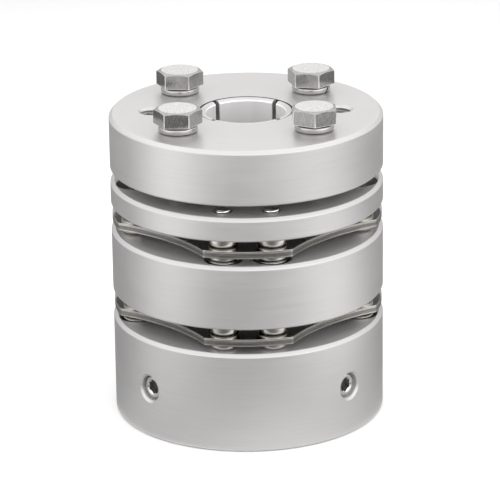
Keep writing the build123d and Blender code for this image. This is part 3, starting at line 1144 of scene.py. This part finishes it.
@dataclass
class LightTent:
    """A round tent of white cloth, with its foot close round the coupling. The camera looks in through it.

    Its floor is seen in metal only, so that the real floor keeps the coupling's shadow.
    """

    profile: tuple[tuple[float, float], ...] = ((33.2, 0.4), (420.0, 0.4), (420.0, 420.0), (210.0, 560.0),
                                                (0.0, 600.0))
    cloth: tuple[tuple[float, float], ...] = ((0.0, 0.2), (230.0, 0.2), (500.0, 0.78), (800.0, 1.67),
                                              (1080.0, 1.7), (1273.0, 0.9))
    patches: tuple[Patch, ...] = (
        Patch(-64.0, 27.0, 190.0, 150.0, 1.27),
        Patch(67.0, 32.0, 94.0, 53.0, 1.5),
        Patch(58.0, 34.0, 200.0, 60.0, 0.45),
        Patch(15.0, 57.0, 0.0, 30.0, 0.77),
        Patch(48.0, 45.0, 521.0, 168.0, 1.6),
        Patch(-56.0, 37.0, 486.0, 142.0, 1.3),
    )
    step: float = 14.0
    sides: int = 96

    def build(self) -> None:
        """Make the tent's floor and its walls."""
        material = self.build_glow()
        along = self.build_part("tent_floor", self.profile[:2], 0.0, material, diffuse=False)
        self.build_part("tent_walls", self.profile[1:], along, material, diffuse=True)

    def plain(self, along: float) -> float:
        """Give the cloth's own brightness at a distance along it."""
        for (near, first), (far, second) in zip(self.cloth, self.cloth[1:]):
            if along <= far:
                return first + (second - first) * (along - near) / (far - near)
        return self.cloth[-1][1]

    def build_part(self, name: str, profile: Sequence[tuple[float, float]], along: float,
                   material: bpy.types.Material, diffuse: bool) -> float:
        """Make one part of the tent.

        Args:
            name: The part's name.
            profile: Its outline as (radius, height), in millimetres.
            along: How far along the cloth it starts, in millimetres.
            material: The cloth's material.
            diffuse: Whether it lights the coupling and the floor, as well as being mirrored in metal.

        Returns:
            How far along the cloth it ends, in millimetres.
        """
        bm = bmesh.new()
        place = bm.verts.layers.float.new("along")
        glow = bm.verts.layers.float_color.new("glow")
        chain = []
        for (r0, z0), (r1, z1) in zip(profile, profile[1:]):
            length = math.hypot(r1 - r0, z1 - z0)
            count = math.ceil(length / self.step)
            for i in range(count + 1):
                vertex = bm.verts.new((0.0, -r0 - (r1 - r0) * i / count, z0 + (z1 - z0) * i / count))
                vertex[place] = along + length * i / count
                chain.append(vertex)
            along += length
        edges = [bm.edges.new(pair) for pair in zip(chain, chain[1:])]
        turn_round(bm, chain + edges, self.sides, merge=True)
        bmesh.ops.remove_doubles(bm, verts=bm.verts[:], dist=0.01)
        for vertex in bm.verts:
            azimuth = math.degrees(math.atan2(vertex.co.x, -vertex.co.y))
            distance = vertex[place]
            level = self.plain(distance) + sum(p.level(azimuth, distance) for p in self.patches)
            vertex[glow] = (level, level, level, 1.0)
        bmesh.ops.scale(bm, vec=(MM, MM, MM), verts=bm.verts[:])
        mesh = bpy.data.meshes.new(name)
        bm.to_mesh(mesh)
        bm.free()
        mesh.materials.append(material)
        part = to_scene(name, mesh)
        part.visible_camera = part.visible_shadow = part.visible_transmission = False
        part.visible_diffuse = diffuse
        return along

    @staticmethod
    def build_glow() -> bpy.types.Material:
        """Make the cloth's material, which is as bright as the light behind it."""
        nodes = Nodes("tent_cloth")
        level = nodes.add("Attribute", attribute_name="glow").outputs["Color"]
        return nodes.finished(nodes.add("Emission", {"Color": level, "Strength": 1.0}))


@dataclass
class Studio:
    """The floor, the light and the camera."""

    distance: float = 752.76
    elevation: float = 19.764
    roll: float = 0.745
    target_height: float = 36.0
    lens: float = 225.194
    shift: tuple[float, float] = (0.00435, 0.02239)
    floor_size: float = 6.0
    floor_shade: float = 0.86

    def build(self) -> None:
        """Set the whole studio up."""
        self.build_world()
        self.build_floor()
        LightTent().build()
        self.build_camera()

    def build_world(self) -> None:
        """Make a plain white surround."""
        world = bpy.data.worlds.new("surround")
        bpy.context.scene.world = world
        world.use_nodes = True
        background = world.node_tree.nodes["Background"]
        background.inputs["Color"].default_value = (1.0, 1.0, 1.0, 1.0)
        background.inputs["Strength"].default_value = 1.0

    def build_floor(self) -> None:
        """Make the pale floor, which keeps the coupling's shadow."""
        bm = bmesh.new()
        bmesh.ops.create_grid(bm, x_segments=1, y_segments=1, size=self.floor_size / 2)
        mesh = bpy.data.meshes.new("floor")
        bm.to_mesh(mesh)
        bm.free()
        nodes = Nodes("pale_floor")
        matt = nodes.add("BsdfDiffuse", {"Color": (*[self.floor_shade] * 3, 1.0)})
        mesh.materials.append(nodes.finished(matt))
        floor = to_scene("floor", mesh)

    def build_camera(self) -> None:
        """Set the camera up, a little turned about its own axis."""
        tilt, roll = math.radians(self.elevation), math.radians(self.roll)
        back = Vector((0, -math.cos(tilt), math.sin(tilt)))
        right, up = Vector((1, 0, 0)), Vector((0, math.sin(tilt), math.cos(tilt)))
        across = right * math.cos(roll) - up * math.sin(roll)
        upward = right * math.sin(roll) + up * math.cos(roll)
        data = bpy.data.cameras.new("camera")
        data.lens = self.lens
        data.sensor_width = 36.0
        data.shift_x, data.shift_y = self.shift
        data.clip_start, data.clip_end = 0.01, 20.0
        camera = to_scene("camera", data)
        place = Vector((0, 0, self.target_height)) + back * self.distance
        camera.matrix_world = at(place * MM) @ Matrix((across, upward, back)).transposed().to_4x4()
        bpy.context.scene.camera = camera


def main() -> None:
    """Build the coupling, then the studio."""
    bpy.context.scene.view_settings.view_transform = "Standard"
    finishes = Finishes()
    holes = Holes()
    TurnedBodies(finishes, holes).build()
    for pack in ("lower", "upper"):
        DiscPack(pack, finishes, holes).build()
    ClampBolts(finishes).build()
    SetScrews(finishes).build()
    Studio().build()


if __name__ == "__main__":
    main()
